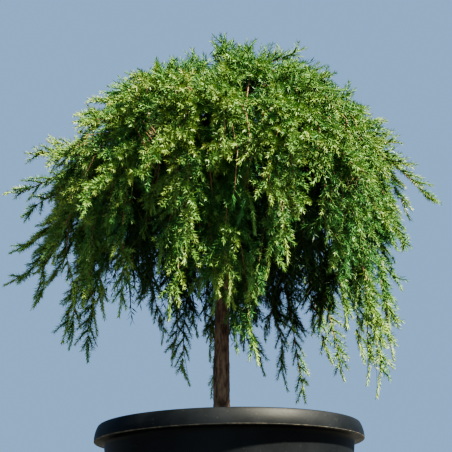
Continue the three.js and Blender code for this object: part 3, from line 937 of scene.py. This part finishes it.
def stays_clear(lines):
    """Which lines keep off the trunk, and stay above the rim."""
    trunk = trunk_line(60)
    height = lines[..., 2]
    away = [lines[..., axis] - np.interp(height, trunk[:, 2], trunk[:, axis]) for axis in (0, 1)]
    close = (height < TRUNK_TIP) & (np.hypot(*away) < TRUNK_CLEARANCE)
    return ~close.any(axis=1) & (height > POT_HEIGHT + RIM_CLEARANCE).all(axis=1)


def square_to(tangent):
    """Two directions square to each tangent and to each other."""
    side = unit(np.cross(tangent, np.array([0.31, 0.52, 0.79])))
    return side, np.cross(tangent, side)


def twig_mesh(lines, thick, thin):
    """Three-sided tapering twigs, closed at the root and pointed at the tip."""
    count, points = lines.shape[:2]
    side, across = square_to(unit(np.gradient(lines, axis=1)))
    share = np.linspace(0, 1, points)[:-1]
    radius = mix(np.broadcast_to(thick, count)[:, None], thin, share[None])
    turn = 2 * math.pi * np.arange(3) / 3
    ring = side[:, :-1, None] * np.cos(turn)[:, None] + across[:, :-1, None] * np.sin(turn)[:, None]
    body = lines[:, :-1, None] + ring * radius[..., None, None]
    vertices = np.concatenate([body.reshape(count, -1, 3), lines[:, -1:]], axis=1)
    each = vertices.shape[1]
    tip_ring = 3 * (points - 2) + np.arange(3)
    faces = np.vstack([[[0, 2, 1]], wall_faces(points - 1, 3)[:, TURNED_OVER], fan_faces(each - 1, tip_ring)])
    return vertices.reshape(-1, 3), repeated(faces, each, count)


def needles(rng, lines, first, pitch, size):
    """Needles that stand round their shoots and point forwards: corners, shoot and share of each."""
    index, number, share = stations(rng, lines, first, 1.0, pitch, 0.4)
    root, tangent = along(lines, index, share)
    count = len(index)
    phase = rng.uniform(0, 2 * math.pi, len(lines))[index]
    turn = phase + number * GOLDEN_TURN + rng.normal(0, 0.25, count)
    side, across = square_to(tangent)
    lean = mix(*NEEDLE_LEAN, share ** 2) + rng.normal(0, LEAN_SPREAD, count)
    direction = unit(swung(tangent, swung(side, across, turn), lean))
    wide = unit(np.cross(direction, tangent))
    face = np.cross(wide, direction)
    twist = rng.normal(0, 0.5, count)
    wide, face = swung(wide, face, twist), swung(face, -wide, twist)
    length = size * NEEDLE_LENGTH * rng.uniform(0.75, 1.1, count) * mix(1, 0.8, share ** 3)
    width = size * NEEDLE_WIDTH * rng.uniform(0.85, 1.1, count)
    belly = root + direction * (0.4 * length)[:, None] + face * NEEDLE_FOLD
    half = wide * (width / 2)[:, None]
    corners = np.stack([root, belly + half, root + direction * length[:, None], belly - half], axis=1)
    return corners, index, share


def grown_strands(rng, skirt, upper):
    """All strands by their kind."""
    ropes = np.radians(ROPE_DEGREES) + rng.uniform(-0.02, 0.02, ROPES)
    hanging = [skirt_strands(rng, ropes, skirt), draped_strands(rng, ropes, upper)]
    hanging = kept_inside(wander(rng, hanging, 5.0), 13)
    spread = [dome_strands(rng, place, **DOME) for place in upper] + [top_strands(rng, **TOP)]
    spread = kept_inside(wander(rng, spread, 2.0), 15)
    leaders = wander(rng, [chosen_strands(LEADERS, skirt)], 5.0)
    fingers = wander(rng, [chosen_strands(FINGERS, skirt), finger_strands(rng, skirt)], 4.0)
    inner = [inner_strands(rng, place, INNER_COUNT) for place in skirt]
    inner += [dome_strands(rng, place, **layer) for layer in INNER_DOMES for place in upper]
    inner = wander(rng, inner + [top_strands(rng, **INNER_TOP)], 3.0)
    return dict(hanging=hanging[stays_clear(hanging)], spread=spread, leaders=leaders,
                fingers=fingers, inner=inner[stays_clear(inner)])


def grown_shoots(rng, strands):
    """The side shoots, which of them stand on leaders and fingers, and the shoots inside the crown."""
    def borne_by(kind, rule):
        return shoots(rng, strands[kind], rule, SHOOT_POINTS)[0]

    outer = np.concatenate([borne_by("hanging", HANGING_RULE), borne_by("spread", DOME_RULE)])
    outer = outer[in_clumps(outer) & stays_clear(outer)]
    edge = np.concatenate([borne_by("leaders", LEADER_RULE), borne_by("fingers", FINGER_RULE)])
    edge = edge[stays_clear(edge)]
    inside = borne_by("inner", INNER_RULE)
    on_edge = np.arange(len(outer) + len(edge)) >= len(outer)
    return np.concatenate([outer, edge]), on_edge, inside[stays_clear(inside)]


def make_wood(strands, side_shoots, twigs):
    """The strands, shoots and twigs. The strands stand for the foliage masses."""
    green_bark = new_material("young_twig", (0.03, 0.065, 0.01), 0.7, 0.2)[0]
    tan_bark = new_material("strand_bark", (0.13, 0.072, 0.038), 0.75, 0.15)[0]
    thick = STRAND_TIP + lengths_of(strands) * STRAND_TAPER
    piece = add_piece("strands", *twig_mesh(strands[:, ::5], thick, STRAND_TIP), [tan_bark], "bark")
    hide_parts(*[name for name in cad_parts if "foliage" in name])
    add_piece("side_shoots", *twig_mesh(side_shoots[:, [0, 2, 5]], *SHOOT_RADII), [green_bark], "bark")
    add_piece("fine_twigs", *twig_mesh(twigs[:, [0, 3]], *TWIG_RADII), [green_bark], "bark")


def freshness_and_painted_light(tip):
    """Needle lightness by the place of a shoot's tip: painted shade inside, painted light high up and low at
    the hem, and partly fresher growth further out.
    """
    distance = np.linalg.norm((tip - MIDDLE) * [1, 1, 0.8], axis=1)
    depth = np.minimum(1.0, (distance - PAINTED_LIGHT_FROM) / PAINTED_LIGHT_DEPTH)
    height = (tip[:, 2] - MIDDLE[2]) / CROWN_RISE
    height = np.where(height > HEM_PAINTED_LIGHT_BELOW, height, HEM_PAINTED_LIGHT_BELOW - 0.5 * (height - HEM_PAINTED_LIGHT_BELOW))
    return depth * 2.0 + height * 0.8


def make_needles(corners, level):
    """The needles in joined pieces of one plain colour each, by level. A needle is a blade of two faces."""
    tint = np.clip(level + 0.5, 0, len(TINTS) - 1).astype(int)
    for number, (name, color) in enumerate(TINTS.items()):
        material = new_material(f"needles_{name}", color, 0.47, 0.22)[0]
        chosen = corners[tint == number]
        for part, start in enumerate(range(0, len(chosen), NEEDLES_A_PIECE)):
            blades = chosen[start:start + NEEDLES_A_PIECE]
            faces = repeated([[0, 1, 2], [0, 2, 3]], 4, len(blades))
            add_piece(f"needles_{name}_{part + 1}", blades.reshape(-1, 3), faces, [material], "foliage",
                      smooth=False)


def make_foliage(skirt, upper):
    """Everything that grows on from the boughs."""
    rng = np.random.default_rng(2026)
    grown = grown_strands(rng, skirt, upper)
    ends = np.concatenate([grown[kind] for kind in ("hanging", "spread", "leaders", "fingers")])
    strands = np.concatenate([ends, grown["inner"]])
    side, on_edge, inside = grown_shoots(rng, grown)
    is_long = lengths_of(side) > LONG_SHOOT
    twigs, parent = shoots(rng, side[is_long], TWIG_RULE, TWIG_POINTS)
    make_wood(strands, np.concatenate([side, inside]), twigs)

    mood = rng.normal(*SIDE_MOOD, len(side))
    distance, limit = outline_distance(side[:, -1])
    outermost = on_edge | (distance > OUTERMOST_SHARE * limit) | (side[:, -1, 2] < OUTERMOST_BELOW)
    groups = (
        (strands, STRAND_NEEDLES, rng.normal(*STRAND_MOOD, len(strands))),
        (ends, END_NEEDLES, rng.normal(*END_MOOD, len(ends))),
        (side[outermost], OUTERMOST_NEEDLES, mood[outermost]),
        (side[~outermost], SIDE_NEEDLES, mood[~outermost]),
        (inside, INNER_NEEDLES, rng.normal(*INNER_PAINTED_SHADE, len(inside))),
        (twigs, TWIG_NEEDLES, mood[is_long][parent]),
    )
    corners, levels = [], []
    for lines, rule, moods in groups:
        found, index, share = needles(rng, lines, **rule)
        corners.append(found)
        levels.append(freshness_and_painted_light(lines[index, -1]) + moods[index] + share ** 2 * 0.9)
    make_needles(np.concatenate(corners), np.concatenate(levels))


# Stage, light and camera

FLOOR_HALF = 9000.0
FLOOR_COLOR = (0.07, 0.07, 0.07)

# The sun stands to the right of the front: its azimuth from there and its height, in degrees
SUN_AZIMUTH = 55
SUN_HEIGHT = 49
SUN_STRENGTH = 17.9
SUN_COLOR = (1.0, 0.94, 0.74)
FILL_TOWARD = (-0.25, -1, 0.04)
FILL_STRENGTH = 0.9
FILL_COLOR = (0.72, 0.9, 1.0)
SURROUND_COLOR = (0.4, 0.64, 1.0)
SURROUND_STRENGTH = 0.27
EXPOSURE = 1.35

# The camera by the photograph's view: its place in millimetres, its angles in degrees, and its lens
CAMERA_PLACE = (0.2, -1057, 81.3)
CAMERA_PITCH = 19.1
CAMERA_ROLL = -0.92
LENS = 79.65
SENSOR = 36


def make_stage():
    """A plain pale floor."""
    floor_material = new_material("pale_floor", FLOOR_COLOR, 0.9, 0.2)[0]
    vertices = FLOOR_HALF * np.array([[-1, -1, 0], [1, -1, 0], [1, 1, 0], [-1, 1, 0]])
    floor = make_object("floor", vertices, np.array([[0, 1, 2, 3]]), [floor_material], False)


def add_sun(name, strength, color, toward, angle):
    """A sun in the direction toward, with its angle across in degrees."""
    data = bpy.data.lights.new(name, "SUN")
    data.energy = strength
    data.color = color
    data.angle = math.radians(angle)
    light = bpy.data.objects.new(name, data)
    light.rotation_euler = Vector(toward).to_track_quat("Z", "Y").to_euler()
    bpy.context.collection.objects.link(light)


def make_lights():
    """A warm sun, a weak soft fill from the front, and a pale blue surround."""
    azimuth, height = math.radians(SUN_AZIMUTH), math.radians(SUN_HEIGHT)
    toward = (math.sin(azimuth) * math.cos(height), -math.cos(azimuth) * math.cos(height),
              math.sin(height))
    add_sun("key", SUN_STRENGTH, SUN_COLOR, toward, 3)
    add_sun("fill", FILL_STRENGTH, FILL_COLOR, FILL_TOWARD, 50)
    world = bpy.data.worlds.new("pale_surroundings")
    world.use_nodes = True
    background = world.node_tree.nodes["Background"]
    background.inputs["Color"].default_value = (*SURROUND_COLOR, 1)
    background.inputs["Strength"].default_value = SURROUND_STRENGTH
    bpy.context.scene.world = world
    view = bpy.context.scene.view_settings
    view.view_transform = "AgX"
    view.look = "AgX - Medium High Contrast"
    view.gamma = 1.0
    view.exposure = EXPOSURE


def make_camera():
    data = bpy.data.cameras.new("camera")
    data.sensor_width = SENSOR
    data.lens = LENS
    camera = bpy.data.objects.new("camera", data)
    bpy.context.collection.objects.link(camera)
    place = Matrix.Translation(Vector(CAMERA_PLACE) * MM)
    pitch = Matrix.Rotation(math.radians(90 + CAMERA_PITCH), 4, "X")
    roll = Matrix.Rotation(math.radians(CAMERA_ROLL), 4, "Z")
    camera.matrix_world = place @ pitch @ roll
    bpy.context.scene.camera = camera


make_camera()
make_stage()
make_lights()
make_pot()
make_soil()
# The bark's colours: its own dark brown, darkened further as painted shade, as if the trunk stood in shadow.
bark = bark_material("bark", (0.016, 0.01, 0.006), (0.056, 0.033, 0.02), (0.125, 0.082, 0.052))
make_trunk(bark)
skirt_places = places(SKIRT)
upper_places = places(UPPER)
make_boughs(bark, skirt_places, upper_places)
make_foliage(skirt_places, upper_places)
